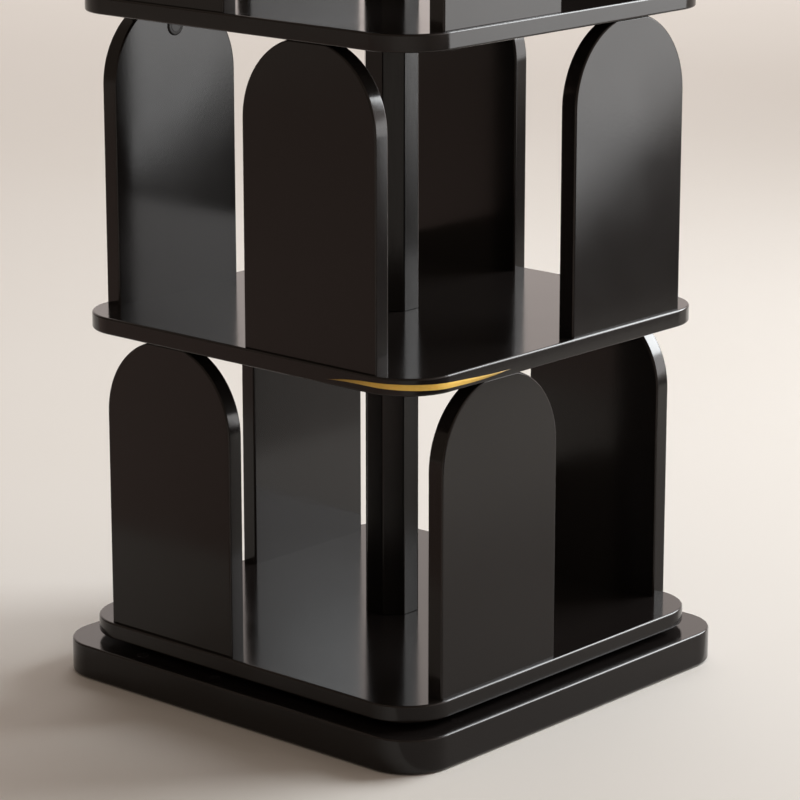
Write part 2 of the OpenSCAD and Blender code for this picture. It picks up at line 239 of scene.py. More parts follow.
class BookcaseStage(bpy.types.PropertyGroup):
    """Camera, light and floor."""

    camera_place: position("Camera place", (1.9071, -2.1344, 0.9930), "Where the camera stands")
    camera_turn: angle("Camera turn", 0.7267, "Turn of the camera about the upright")
    camera_dip: angle("Camera dip", 0.2556, "How far the camera looks down")
    camera_lens: bpy.props.FloatProperty(
        name="Focal length", description="Focal length on a 36 mm sensor", default=149.9, unit="CAMERA")
    side_place: position("Side light place", (0.973, 1.390, 0.789), "Middle of the soft side light")
    side_roll: angle("Side light roll", 0.8029, "Slant of the side light's lower edge")
    side_width: length("Side light width", 1.475, "Width of the soft side light")
    side_height: length("Side light height", 0.556, "Height of the soft side light")
    side_power: power("Side light power", 8.55, "Power of the soft side light")
    key_place: position("Key light place", (1.20, 3.10, 2.25), "Middle of the soft key light")
    key_aim: length("Key light aim", 1.1, "Height over the origin that the key light faces")
    key_width: length("Key light width", 2.6, "Width of the soft key light")
    key_height: length("Key light height", 1.8, "Height of the soft key light")
    key_spread: angle("Key light spread", math.radians(100), "Spread of the soft key light")
    key_power: power("Key light power", 70.0, "Power of the soft key light")
    far_height: length("Far light height", 4.6, "Height of the far floor's lights, which are also as wide")
    far_spread: angle("Far light spread", math.radians(120), "Spread of each of the far floor's lights")
    far_power: power("Far light power", 92.0, "Power of each of the far floor's lights")
    card_gap: length("Card gap", 0.003, "Gap between the base and the grey card beside it")
    front_card_gap: length("Front card gap", 0.30, "Gap between the base and the grey card in front of it")
    card_side: length("Card side", 3.2, "Side of each square grey card")
    floor_radius: length("Floor radius", 14.0, "How far the floor reaches")


def fill(tree, node, inputs):
    """Fills a node's inputs with values or links; a list links all of its sockets to one input."""
    for key, value in inputs.items():
        for one in value if isinstance(value, list) else [value]:
            if isinstance(one, bpy.types.NodeSocket):
                tree.links.new(one, node.inputs[key])
            else:
                node.inputs[key].default_value = one


def add(tree, kind, inputs=None, **settings):
    """Adds one node with its settings, values and links."""
    made = tree.nodes.new(kind)
    for key, value in settings.items():
        setattr(made, key, value)
    fill(tree, made, inputs or {})
    return made


def per_mm(size):
    """Scale of a noise whose features are that many millimetres across, on coordinates in metres."""
    return 1000.0 / size


def start_finish(name):
    """A new node material: returns it with its tree, its shader and the Object coordinates."""
    made = bpy.data.materials.new(name)
    made.use_nodes = True
    tree = made.node_tree
    return made, tree, tree.nodes["Principled BSDF"], add(tree, "ShaderNodeTexCoord").outputs["Object"]


def lacquer_finish(colours):
    """MDF sprayed with satin black lacquer."""
    # Near-black, with soft reflections. The spray's orange peel breaks their edges a little,
    # the sanded board swells them, and the eased edges are painted paler: partly rubbing wear, partly a
    # painted highlight.
    made, tree, shader, place = start_finish("satin_black_lacquer_sprayed_on_mdf")
    haze = add(tree, "ShaderNodeTexNoise", {"Vector": place, "Scale": per_mm(70), "Detail": 4.0})
    sheen = add(tree, "ShaderNodeMapRange", {
        "Value": haze.outputs["Fac"], "From Min": 0.3, "From Max": 0.7, "To Min": 0.11, "To Max": 0.15})
    patchy = add(tree, "ShaderNodeTexNoise", {"Vector": place, "Scale": per_mm(16), "Detail": 3.0})
    # painted highlight: every eased edge is painted paler, partly for rubbing wear and partly as a painted
    # highlight
    edge = add(tree, "ShaderNodeAttribute", attribute_name="rub").outputs["Fac"]
    wear_and_painted_highlight = add(tree, "ShaderNodeMath", {0: edge, 1: patchy.outputs["Fac"]}, operation="MULTIPLY")
    tone = add(tree, "ShaderNodeMix", {
        FACTOR: wear_and_painted_highlight.outputs[0], FIRST: tuple(colours.lacquer), SECOND: tuple(colours.lacquer_rub_and_highlight)},
        data_type="RGBA")
    # how much rougher the lacquer is on the eased edges, which are rubbed and also painted paler
    duller = 0.12
    rough = add(tree, "ShaderNodeMath", {
        0: wear_and_painted_highlight.outputs[0], 1: duller, 2: sheen.outputs["Result"]}, operation="MULTIPLY_ADD")
    swell = add(tree, "ShaderNodeTexNoise", {"Vector": place, "Scale": per_mm(110), "Detail": 1.0})
    board = add(tree, "ShaderNodeBump", {
        "Height": swell.outputs["Fac"], "Strength": 1.0, "Distance": 0.00008})
    # orange peel of a sprayed coat is 1 to 2 mm across, drawn at 3 mm so that it shows
    peel = add(tree, "ShaderNodeTexNoise", {"Vector": place, "Scale": per_mm(3), "Detail": 1.0})
    spray = add(tree, "ShaderNodeBump", {
        "Height": peel.outputs["Fac"], "Strength": 1.0, "Distance": 0.000012,
        "Normal": board.outputs["Normal"]})
    fill(tree, shader, {
        "Base Color": tone.outputs[MIXED],
        "Roughness": rough.outputs[0],
        "Normal": spray.outputs["Normal"],
        "IOR": 1.42,
    })
    return made


def post_lacquer_finish(colours):
    """Solid beech, planed to eight sides and sprayed with satin black lacquer."""
    # As black as the boards, but the pores of the wood draw faint upright streaks through the sheen.
    made, tree, shader, place = start_finish("satin_black_lacquer_on_solid_beech")
    upright = add(tree, "ShaderNodeMapping", {"Vector": place, "Scale": (1.0, 1.0, 0.04)}).outputs[0]
    # pores are 0.1 to 0.2 mm wide, drawn at 1 mm so that they show
    pores = add(tree, "ShaderNodeTexNoise", {"Vector": upright, "Scale": per_mm(1.0), "Detail": 3.0})
    sheen = add(tree, "ShaderNodeMapRange", {
        "Value": pores.outputs["Fac"], "From Min": 0.3, "From Max": 0.7, "To Min": 0.17, "To Max": 0.24})
    figure = add(tree, "ShaderNodeTexNoise", {"Vector": upright, "Scale": per_mm(9), "Detail": 2.0})
    tone = add(tree, "ShaderNodeMix", {
        FACTOR: figure.outputs["Fac"], FIRST: tuple(colours.post_lacquer), SECOND: srgb("100e0d")},
        data_type="RGBA")
    coat = add(tree, "ShaderNodeBump", {
        "Height": pores.outputs["Fac"], "Strength": 1.0, "Distance": 0.000006})
    fill(tree, shader, {
        "Base Color": tone.outputs[MIXED],
        "Roughness": sheen.outputs["Result"],
        "Normal": coat.outputs["Normal"],
        "IOR": 1.45,
    })
    return made


def aluminium_finish(colours):
    """Aluminium rings, turned and lightly brushed."""
    # Pale grey metal, whose fine turning marks run round the ring and stretch the highlights.
    made, tree, shader, place = start_finish("turned_aluminium")
    # turning marks 0.4 mm apart, drawn at 0.8 mm so that they show; rings of scale 1 are pi / 10 apart
    marks = add(tree, "ShaderNodeTexWave", {
        "Vector": place, "Scale": per_mm(0.8) * math.pi / 10, "Distortion": 0.6, "Detail": 2.0},
        wave_type="RINGS", rings_direction="Z")
    sheen = add(tree, "ShaderNodeMapRange", {"Value": marks.outputs["Fac"], "To Min": 0.28, "To Max": 0.42})
    cut = add(tree, "ShaderNodeBump", {
        "Height": marks.outputs["Fac"], "Strength": 0.6, "Distance": 0.00002})
    fill(tree, shader, {
        "Roughness": sheen.outputs["Result"],
        "Normal": cut.outputs["Normal"],
        "Base Color": tuple(colours.aluminium),
        "Metallic": 1.0,
    })
    return made


def plating_finish(colours):
    """Steel with bright zinc plating."""
    # Cool bright metal, with the faint cloudy tint that the passivating bath leaves.
    made, tree, shader, place = start_finish("bright_zinc_plated_steel")
    cloud = add(tree, "ShaderNodeTexNoise", {"Vector": place, "Scale": per_mm(2.5), "Detail": 3.0})
    tint = add(tree, "ShaderNodeMix", {
        FACTOR: cloud.outputs["Fac"], FIRST: tuple(colours.plating), SECOND: srgb("a3a39c")},
        data_type="RGBA")
    sheen = add(tree, "ShaderNodeMapRange", {"Value": cloud.outputs["Fac"], "To Min": 0.20, "To Max": 0.38})
    fill(tree, shader, {
        "Base Color": tint.outputs[MIXED],
        "Roughness": sheen.outputs["Result"],
        "Metallic": 1.0,
    })
    return made


def casting_finish(colours):
    """Die-cast zinc, as it leaves the mould."""
    # Dull grey metal with the slight flow marks and pits of a casting.
    made, tree, shader, place = start_finish("die_cast_zinc")
    flow = add(tree, "ShaderNodeTexNoise", {
        "Vector": place, "Scale": per_mm(3), "Detail": 4.0, "Distortion": 0.8})
    sheen = add(tree, "ShaderNodeMapRange", {"Value": flow.outputs["Fac"], "To Min": 0.38, "To Max": 0.60})
    skin = add(tree, "ShaderNodeBump", {
        "Height": flow.outputs["Fac"], "Strength": 0.5, "Distance": 0.00005})
    fill(tree, shader, {
        "Roughness": sheen.outputs["Result"],
        "Normal": skin.outputs["Normal"],
        "Base Color": tuple(colours.casting),
        "Metallic": 1.0,
    })
    return made


def nylon_finish(colours):
    """Moulded natural nylon."""
    # Pale, faintly yellow and a little translucent-looking, with a smooth mould skin.
    made, tree, shader, place = start_finish("moulded_natural_nylon")
    cloud = add(tree, "ShaderNodeTexNoise", {"Vector": place, "Scale": per_mm(9), "Detail": 2.0})
    tint = add(tree, "ShaderNodeMix", {
        FACTOR: cloud.outputs["Fac"], FIRST: tuple(colours.nylon), SECOND: srgb("d8d2c2")},
        data_type="RGBA")
    sheen = add(tree, "ShaderNodeMapRange", {"Value": cloud.outputs["Fac"], "To Min": 0.40, "To Max": 0.52})
    fill(tree, shader, {
        "Base Color": tint.outputs[MIXED],
        "Roughness": sheen.outputs["Result"],
        "IOR": 1.53,
    })
    return made


def moulding_finish(colours):
    """Moulded black ABS with a silk-matt skin."""
    # As black as the lacquer and a little duller, so that the caps hardly show on it, with a fine grain.
    made, tree, shader, place = start_finish("silk_matt_black_abs")
    # a fine mould grain is 0.2 mm across, drawn at 0.7 mm so that it shows
    grain = add(tree, "ShaderNodeTexNoise", {"Vector": place, "Scale": per_mm(0.7), "Detail": 2.0})
    sheen = add(tree, "ShaderNodeMapRange", {"Value": grain.outputs["Fac"], "To Min": 0.28, "To Max": 0.36})
    skin = add(tree, "ShaderNodeBump", {
        "Height": grain.outputs["Fac"], "Strength": 0.8, "Distance": 0.000006})
    fill(tree, shader, {
        "Roughness": sheen.outputs["Result"],
        "Normal": skin.outputs["Normal"],
        "Base Color": tuple(colours.moulding),
        "IOR": 1.52,
    })
    return made


def rubber_finish(colours):
    """Closed-cell foam rubber."""
    # Dull charcoal with fine open cells where the sheet was cut.
    made, tree, shader, place = start_finish("black_foam_rubber")
    # cut cells are 0.4 mm across, drawn at 1 mm so that they show
    cells = add(tree, "ShaderNodeTexVoronoi", {"Vector": place, "Scale": per_mm(1.0)})
    tone = add(tree, "ShaderNodeMix", {
        FACTOR: cells.outputs["Distance"], FIRST: srgb("1c1b1b"), SECOND: tuple(colours.rubber)},
        data_type="RGBA")
    skin = add(tree, "ShaderNodeBump", {
        "Height": cells.outputs["Distance"], "Strength": 0.7, "Distance": 0.0002})
    fill(tree, shader, {
        "Base Color": tone.outputs[MIXED],
        "Normal": skin.outputs["Normal"],
        "Roughness": 0.85,
        "IOR": 1.5,
    })
    return made


def gilt_finish(colours):
    """Gilt line: gold bronze paint, burnished."""
    # Warm and bright in the middle, with faint brush marks, and darker brown towards its ends.
    made, tree, shader, place = start_finish("burnished_gold_bronze_paint")
    brush = add(tree, "ShaderNodeTexNoise", {"Vector": place, "Scale": per_mm(4), "Detail": 3.0})
    tint = add(tree, "ShaderNodeMix", {
        FACTOR: brush.outputs["Fac"], FIRST: tuple(colours.gilt), SECOND: srgb("ffdb76")},
        data_type="RGBA")
    # the line turns darker brown towards its ends
    ends = add(tree, "ShaderNodeAttribute", attribute_name="fade").outputs["Fac"]
    tone = add(tree, "ShaderNodeMix", {
        FACTOR: ends, FIRST: tint.outputs[MIXED], SECOND: tuple(colours.gilt_ends)}, data_type="RGBA")
    sheen = add(tree, "ShaderNodeMapRange", {"Value": brush.outputs["Fac"], "To Min": 0.34, "To Max": 0.48})
    fill(tree, shader, {
        "Base Color": tone.outputs[MIXED],
        "Roughness": sheen.outputs["Result"],
        "Metallic": 0.35,
    })
    return made


def floor_finish(colours):
    """Plain pale floor."""
    # Matt and even, with only a breath of tone, so that nothing on it draws the eye.
    made, tree, shader, place = start_finish("pale_matt_floor")
    cloud = add(tree, "ShaderNodeTexNoise", {"Vector": place, "Scale": per_mm(900), "Detail": 2.0})
    tone = add(tree, "ShaderNodeMix", {
        FACTOR: cloud.outputs["Fac"], FIRST: tuple(colours.floor), SECOND: srgb("e3ded7")},
        data_type="RGBA")
    fill(tree, shader, {
        "Base Color": tone.outputs[MIXED],
        "Roughness": 0.7,
        "Specular IOR Level": 0.2,
    })
    return made


def side_card_finish(colours):
    """Grey card of a studio, in three tones."""
    # Matt. Its three tones are painted reflection: its pale band is a painted highlight and its dark far
    # part a painted shade, which give the gloss of the panels its change of tone.
    made, tree, shader, place = start_finish("grey_matt_card")
    cloud = add(tree, "ShaderNodeTexNoise", {"Vector": place, "Scale": per_mm(600), "Detail": 2.0})
    grey = add(tree, "ShaderNodeMix", {
        FACTOR: cloud.outputs["Fac"], FIRST: tuple(colours.side_card), SECOND: srgb("a6a09a")},
        data_type="RGBA")
    reach = add(tree, "ShaderNodeSeparateXYZ", {0: place}).outputs["X"]
    # painted highlight: a pale band in what the panels' gloss reflects
    band = add(tree, "ShaderNodeMapRange", {
        "Value": reach, "From Min": 0.45, "From Max": 0.80}, interpolation_type="SMOOTHSTEP")
    pale = add(tree, "ShaderNodeMix", {
        FACTOR: band.outputs["Result"], FIRST: grey.outputs[MIXED], SECOND: tuple(colours.side_card_painted_highlight)},
        data_type="RGBA")
    # painted shade: the card's far part, dark in what the panels' gloss reflects
    away = add(tree, "ShaderNodeMapRange", {
        "Value": reach, "From Min": 0.98, "From Max": 1.12}, interpolation_type="SMOOTHSTEP")
    tone = add(tree, "ShaderNodeMix", {
        FACTOR: away.outputs["Result"], FIRST: pale.outputs[MIXED], SECOND: tuple(colours.side_card_painted_shade)},
        data_type="RGBA")
    fill(tree, shader, {
        "Base Color": tone.outputs[MIXED],
        "Roughness": 0.9,
    })
    return made


def front_card_finish(colours):
    """Warm grey card of a studio."""
    # Matt, and a little darker and warmer than the floor: painted shade in the gloss of the front panels,
    # so that it stays deep.
    made, tree, shader, place = start_finish("warm_grey_matt_card")
    cloud = add(tree, "ShaderNodeTexNoise", {"Vector": place, "Scale": per_mm(600), "Detail": 2.0})
    tone = add(tree, "ShaderNodeMix", {
        FACTOR: cloud.outputs["Fac"], FIRST: tuple(colours.front_card), SECOND: srgb("c4afa7")},
        data_type="RGBA")
    fill(tree, shader, {
        "Base Color": tone.outputs[MIXED],
        "Roughness": 0.9,
    })
    return made


FINISHES = {
    "black_lacquered_board": lacquer_finish,
    "black_lacquered_wood": post_lacquer_finish,
    "satin_aluminium": aluminium_finish,
    "bright_steel": plating_finish,
    "cast_zinc": casting_finish,
    "pale_plastic": nylon_finish,
    "black_plastic": moulding_finish,
    "black_rubber": rubber_finish,
    "gilt": gilt_finish,
    "floor": floor_finish,
    "side_card": side_card_finish,
    "front_card": front_card_finish,
}
mixed = {}


def finish(slot):
    """The material of a record slot, mixed the first time it is asked for."""
    if slot not in mixed:
        mixed[slot] = FINISHES[slot](bpy.context.scene.bookcase_colours)
    return mixed[slot]


def box_of(node):
    """Lowest and highest corner of a CAD node, as vectors."""
    low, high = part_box(node)
    return Vector(low), Vector(high)


def reach_of(node):
    """Least and greatest distance of a CAD node from the upright through the origin."""
    reaches = [math.hypot(v.co.x, v.co.y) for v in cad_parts[node].data.vertices]
    return min(reaches), max(reaches)


def settle(piece, body, slot, *nodes):
    """Gives a finished piece its body and hides the CAD nodes that it stands for; its slot is not used."""
    if not piece.data.polygons:
        raise RuntimeError(piece.name + " came out empty")
    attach(piece, body)
    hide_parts(*nodes)


def paint(slot, *nodes):
    """Gives CAD nodes that stay as they are the material of their slot."""
    for node in nodes:
        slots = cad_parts[node].data.materials
        slots.clear()
        slots.append(finish(slot))


def put_in_scene(name, data):
    """A new object at the origin with that mesh, light or camera."""
    piece = bpy.data.objects.new(name, data)
    bpy.context.scene.collection.objects.link(piece)
    return piece


def make_plain(piece):
    """Replaces a piece's mesh and modifiers with the mesh that they give."""
    graph = bpy.context.evaluated_depsgraph_get()
    old = piece.data
    result = bpy.data.meshes.new_from_object(piece.evaluated_get(graph))
    piece.modifiers.clear()
    piece.data = result
    bpy.data.meshes.remove(old)
    result.name = piece.name


def turned(name, rings, steps=TURNED_STEPS):
    """A mesh turned about Z from (radius, height) rings; a third value is a ring's number of flat sides."""
    work = bmesh.new()
    loops = []
    for radius, height, *sides in rings:
        loop = []
        for k in range(steps if radius else 1):
            turn = 2 * math.pi * k / steps
            reach = radius
            if sides:
                half = math.pi / sides[0]
                reach = radius * math.cos(half) / math.cos(turn % (2 * half) - half)
            loop.append(work.verts.new((reach * math.cos(turn), reach * math.sin(turn), height)))
        loops.append(loop)
    for one, two in zip(loops, loops[1:]):
        for k in range(steps):
            after = (k + 1) % steps
            corners = [one[k % len(one)], one[after % len(one)], two[after % len(two)], two[k % len(two)]]
            work.faces.new(list(dict.fromkeys(corners)))
    bmesh.ops.remove_doubles(work, verts=work.verts, dist=SAME)
    bmesh.ops.recalc_face_normals(work, faces=work.faces)
    mesh = bpy.data.meshes.new(name)
    work.to_mesh(mesh)
    work.free()
    mesh.shade_smooth()
    mesh.set_sharp_from_angle(angle=SHARP_FOLD)
    return mesh


def start_tree(name, inputs):
    """A new Geometry Nodes tree with named inputs: returns it with the sockets of its inputs."""
    tree = bpy.data.node_groups.new(name, "GeometryNodeTree")
    tree.is_modifier = True
    tree.interface.new_socket("Geometry", in_out="OUTPUT", socket_type="NodeSocketGeometry")
    for label, kind in inputs:
        tree.interface.new_socket(label, in_out="INPUT", socket_type="NodeSocket" + kind)
    return tree, add(tree, "NodeGroupInput").outputs


def end_tree(tree, geometry, material):
    """Ends a tree in Realize Instances and Set Material."""
    real = add(tree, "GeometryNodeRealizeInstances", {"Geometry": geometry})
    painted = add(tree, "GeometryNodeSetMaterial", {"Geometry": real.outputs[0], "Material": material})
    add(tree, "NodeGroupOutput", {"Geometry": painted.outputs[0]})
    return tree


def slab(tree, outline, thickness, foot):
    """Nodes that fill an outline, thicken it up Z, and weight its edges above a foot line to be eased."""
    face = add(tree, "GeometryNodeFillCurve", {"Curve": outline}, mode="NGONS").outputs[0]
    raised = add(tree, "GeometryNodeExtrudeMesh", {
        "Mesh": face, "Offset Scale": thickness, "Individual": False}, mode="FACES").outputs[0]
    under = add(tree, "GeometryNodeFlipFaces", {"Mesh": face}).outputs[0]
    joined = add(tree, "GeometryNodeJoinGeometry", {"Geometry": [raised, under]}).outputs[0]
    closed = add(tree, "GeometryNodeMergeByDistance", {"Geometry": joined, "Distance": MERGED}).outputs[0]
    smooth = add(tree, "GeometryNodeSetShadeSmooth", {"Geometry": closed, "Shade Smooth": True}).outputs[0]
    fold = add(tree, "GeometryNodeInputMeshEdgeAngle").outputs["Unsigned Angle"]
    sharp = add(tree, "ShaderNodeMath", {0: fold, 1: EASED_FOLD}, operation="GREATER_THAN").outputs[0]
    ends = add(tree, "GeometryNodeInputMeshEdgeVertices").outputs
    one = add(tree, "ShaderNodeSeparateXYZ", {0: ends["Position 1"]}).outputs["Y"]
    two = add(tree, "ShaderNodeSeparateXYZ", {0: ends["Position 2"]}).outputs["Y"]
    upper = add(tree, "ShaderNodeMath", {0: one, 1: two}, operation="MAXIMUM").outputs[0]
    above = add(tree, "ShaderNodeMath", {0: upper, 1: foot}, operation="GREATER_THAN").outputs[0]
    weight = add(tree, "ShaderNodeMath", {0: sharp, 1: above}, operation="MULTIPLY").outputs[0]
    return add(tree, "GeometryNodeStoreNamedAttribute", {
        "Geometry": smooth, "Name": "bevel_weight_edge", "Value": weight},
        data_type="FLOAT", domain="EDGE").outputs[0]


def board_tree():
    """Square board with rounded corners."""
    tree, given = start_tree("Rounded board", [
        ("Side", "Float"), ("Thickness", "Float"), ("Corner Radius", "Float"), ("Corner Steps", "Int"),
        ("Place", "Vector"), ("Material", "Material")])
    square = add(tree, "GeometryNodeCurvePrimitiveQuadrilateral", {
        "Width": given["Side"], "Height": given["Side"]}).outputs[0]
    outline = add(tree, "GeometryNodeFilletCurve", {
        "Curve": square, "Count": given["Corner Steps"], "Radius": given["Corner Radius"]},
        mode="POLY").outputs[0]
    board = slab(tree, outline, given["Thickness"], NO_FOOT)
    placed = add(tree, "GeometryNodeTransform", {
        "Geometry": board, "Translation": given["Place"]}).outputs[0]
    return end_tree(tree, placed, given["Material"])


def panel_tree():
    """Arched panel: straight sides, half-round top, crown cut flat."""
    tree, given = start_tree("Arched panel", [
        ("Width", "Float"), ("Height", "Float"), ("Thickness", "Float"), ("Crown Cut", "Float"),
        ("Arch Steps", "Int"), ("Place", "Vector"), ("Turn", "Vector"), ("Material", "Material")])
    full = add(tree, "ShaderNodeMath", {
        0: given["Height"], 1: given["Crown Cut"]}, operation="ADD").outputs[0]
    square = add(tree, "GeometryNodeCurvePrimitiveQuadrilateral", {
        "Width": given["Width"], "Height": full}).outputs[0]
    point = add(tree, "GeometryNodeInputPosition").outputs[0]
    spot = add(tree, "ShaderNodeSeparateXYZ", {0: point}).outputs
    # only the two upper corners are rounded, each by almost half the width, which makes the half-round top
    upper = add(tree, "ShaderNodeMath", {0: spot["Y"], 1: 0.0}, operation="GREATER_THAN").outputs[0]
    half = add(tree, "ShaderNodeMath", {
        0: given["Width"], 1: 0.5, 2: -ARCH_SLACK}, operation="MULTIPLY_ADD").outputs[0]
    radius = add(tree, "ShaderNodeMath", {0: upper, 1: half}, operation="MULTIPLY").outputs[0]
    arch = add(tree, "GeometryNodeFilletCurve", {
        "Curve": square, "Count": given["Arch Steps"], "Radius": radius}, mode="POLY").outputs[0]
    # the crown is cut flat, and the foot comes up to zero
    middle = add(tree, "ShaderNodeMath", {0: full, 1: 0.5}, operation="MULTIPLY").outputs[0]
    raised = add(tree, "ShaderNodeMath", {0: spot["Y"], 1: middle}, operation="ADD").outputs[0]
    cut = add(tree, "ShaderNodeMath", {0: raised, 1: given["Height"]}, operation="MINIMUM").outputs[0]
    moved = add(tree, "ShaderNodeCombineXYZ", {"X": spot["X"], "Y": cut}).outputs[0]
    outline = add(tree, "GeometryNodeSetPosition", {"Geometry": arch, "Position": moved}).outputs[0]
    panel = slab(tree, outline, given["Thickness"], HAIR)
    upright = add(tree, "GeometryNodeTransform", {
        "Geometry": panel, "Rotation": (QUARTER_TURN, 0.0, 0.0)}).outputs[0]
    placed = add(tree, "GeometryNodeTransform", {
        "Geometry": upright, "Translation": given["Place"], "Rotation": given["Turn"]}).outputs[0]
    return end_tree(tree, placed, given["Material"])


def post_tree():
    """Post with flat sides and eased long edges, a side towards each face of the bookcase."""
    tree, given = start_tree("Flat-sided post", [
        ("Across", "Float"), ("Height", "Float"), ("Edge Radius", "Float"), ("Edge Steps", "Int"),
        ("Place", "Vector"), ("Material", "Material")])
    half = math.pi / POST_SIDES
    corner = add(tree, "ShaderNodeMath", {
        0: given["Across"], 1: 0.5 / math.cos(half)}, operation="MULTIPLY").outputs[0]
    ring = add(tree, "GeometryNodeCurvePrimitiveCircle", {
        "Resolution": POST_SIDES, "Radius": corner}, mode="RADIUS").outputs[0]
    faced = add(tree, "GeometryNodeTransform", {"Geometry": ring, "Rotation": (0.0, 0.0, half)}).outputs[0]
    outline = add(tree, "GeometryNodeFilletCurve", {
        "Curve": faced, "Count": given["Edge Steps"], "Radius": given["Edge Radius"]},
        mode="POLY").outputs[0]
    post = slab(tree, outline, given["Height"], NO_FOOT)
    placed = add(tree, "GeometryNodeTransform", {
        "Geometry": post, "Translation": given["Place"]}).outputs[0]
    return end_tree(tree, placed, given["Material"])


def set_out_tree():
    """Like pieces set out on points, each turned as its point says."""
    tree, given = start_tree("Like pieces set out", [
        ("Geometry", "Geometry"), ("Pattern", "Object"), ("Material", "Material")])
    pattern = add(tree, "GeometryNodeObjectInfo", {"Object": given["Pattern"]}).outputs["Geometry"]
    turn = add(tree, "GeometryNodeInputNamedAttribute", {
        "Name": "turn"}, data_type="FLOAT_VECTOR").outputs[0]
    rows = add(tree, "GeometryNodeInstanceOnPoints", {
        "Points": given["Geometry"], "Instance": pattern, "Rotation": turn}).outputs[0]
    return end_tree(tree, rows, given["Material"])


TREES = {
    "Rounded board": board_tree,
    "Arched panel": panel_tree,
    "Flat-sided post": post_tree,
    "Like pieces set out": set_out_tree,
}


def run_tree(piece, name, values):
    """Puts a tree on a piece, with its inputs set by their identifiers."""
    tree = bpy.data.node_groups.get(name) or TREES[name]()
    nodes = piece.modifiers.new(name, "NODES")
    nodes.node_group = tree
    for item in tree.interface.items_tree:
        if item.item_type == "SOCKET" and item.in_out == "INPUT" and item.name in values:
            nodes[item.identifier] = values[item.name]


def ease_and_drill(piece, radius, axis, low, high, cutter=None):
    """Eases a piece's weighted edges, drills it, evens its shading and marks its eased edges, which are
    painted paler for rubbing wear and as a painted highlight.
    """
    rounding = piece.modifiers.new("Eased edges", "BEVEL")
    rounding.width = radius
    rounding.segments = EASED_STEPS
    rounding.limit_method = "WEIGHT"
    if cutter:
        drill = piece.modifiers.new("Drillings", "BOOLEAN")
        drill.operation = "DIFFERENCE"
        drill.solver = "EXACT"
        drill.object = cutter
    make_plain(piece)
    if cutter:
        bpy.data.objects.remove(cutter)
    piece.data.set_sharp_from_angle(angle=SHARP_FOLD)
    even = piece.modifiers.new("Even shading", "WEIGHTED_NORMAL")
    even.mode = "FACE_AREA"
    even.weight = 100
    even.keep_sharp = True
    make_plain(piece)
    # the mark of rubbing wear and painted highlight is nothing on the faces and whole halfway round an
    # eased edge
    rub = piece.data.attributes.new("rub", "FLOAT", "POINT")
    for point, vertex in zip(rub.data, piece.data.vertices):
        depth = min(vertex.co[axis] - low, high - vertex.co[axis]) / radius
        point.value = 4 * depth * (1 - depth) if 0 < depth < 1 else 0.0


def set_out(name, pattern, places, slot):
    """Like pieces at (place, turn) pairs, as one plain mesh."""
    spots, turns = zip(*places)
    mesh = bpy.data.meshes.new(name)
    mesh.from_pydata(spots, [], [])
    stored = mesh.attributes.new("turn", "FLOAT_VECTOR", "POINT")
    for point, turn in zip(stored.data, turns):
        point.vector = turn
    model = put_in_scene(name + "_pattern", pattern)
    piece = put_in_scene(name, mesh)
    run_tree(piece, "Like pieces set out", {"Pattern": model, "Material": finish(slot)})
    make_plain(piece)
    bpy.data.objects.remove(model)
    bpy.data.meshes.remove(pattern)
    return piece


def panel_place(node):
    """Of a panel: the middle of its foot, its thickness and the way in towards the post."""
    low, high = box_of(node)
    size = high - low
    middle = (low + high) / 2
    foot = Vector((middle.x, middle.y, low.z))
    if size.x < size.y:
        return foot, size.x, Vector((-math.copysign(1, middle.x), 0, 0))
    return foot, size.y, Vector((0, -math.copysign(1, middle.y), 0))


def foot_screw_places(tier, sizes):
    """Where a tier's foot screws come through the underside of their shelf."""
    underside = box_of(SHELVES[TIERS.index(tier)])[0].z
    places = []
    for side in SIDES:
        foot, _, inwards = panel_place(tier + "_panel_" + side)
        along = inwards.cross(Vector((0, 0, 1)))
        for way in (-0.5, 0.5):
            spot = foot + along * (way * sizes.screw_spacing)
            places.append(Vector((spot.x, spot.y, underside)))
    return places


def pad_places(sizes):
    """Middles of the foot pads, on the floor."""
    reach = box_of("foot_pads")[1].x - sizes.pad / 2
    return [Vector((x, y, 0)) for x in (-reach, reach) for y in (-reach, reach)]


def drillings(holes):
    """A cutter of turned plugs, each given as (rings, place)."""
    work = bmesh.new()
    for rings, place in holes:
        solid = turned("plug", rings)
        solid.transform(Matrix.Translation(place))
        work.from_mesh(solid)
        bpy.data.meshes.remove(solid)
    mesh = bpy.data.meshes.new("drillings")
    work.to_mesh(mesh)
    work.free()
    return put_in_scene("drillings", mesh)


def plug(radius, low, high):
    """Rings of a straight round plug."""
    return [(0, low), (radius, low), (radius, high), (0, high)]


def countersink(head, shank):
    """Rings of the plug that sinks a screw head flush into an underside."""
    deep = (head - shank) / 2
    return [(0, -PAST), (head / 2 + PAST, -PAST), (shank / 2, deep), (0, deep)]


